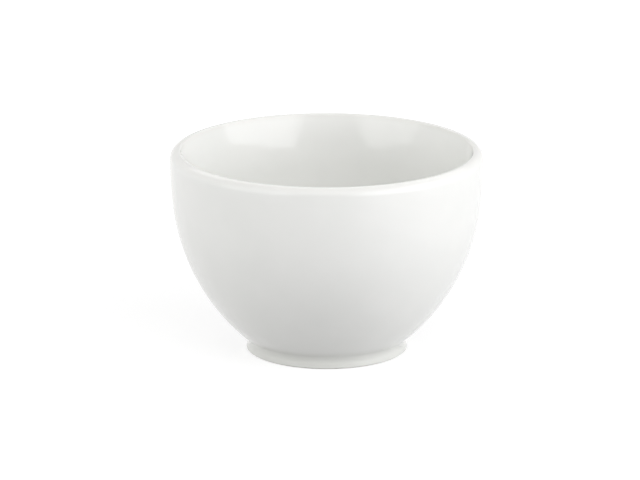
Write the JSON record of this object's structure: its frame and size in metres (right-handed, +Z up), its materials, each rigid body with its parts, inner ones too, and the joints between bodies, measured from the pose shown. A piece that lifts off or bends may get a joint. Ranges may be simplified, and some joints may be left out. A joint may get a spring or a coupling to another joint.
{
  "type": "latte bowl",
  "caption": "Round handleless porcelain bowl with a full curved side, a thick wall that thins to a rounded lip and a low foot ring, for drinking milky coffee.",
  "frame": {"origin": "on the bowl's axis, at the level of the table that the foot ring stands on", "axes": "+Z up along the axis of rotation; the bowl is round, so X and Y may be turned freely"},
  "size_m": [0.12, 0.12, 0.0784],
  "materials": {
    "biscuit": "bare fired porcelain, matt and finely grained, showing only on the wiped foot ring",
    "glaze": "smooth glossy white glaze"
  },
  "bodies": {
    "root": {"porcelain_body": "biscuit", "glaze_coat": "glaze", "base_glaze": "glaze"}
  },
  "joints": []
}
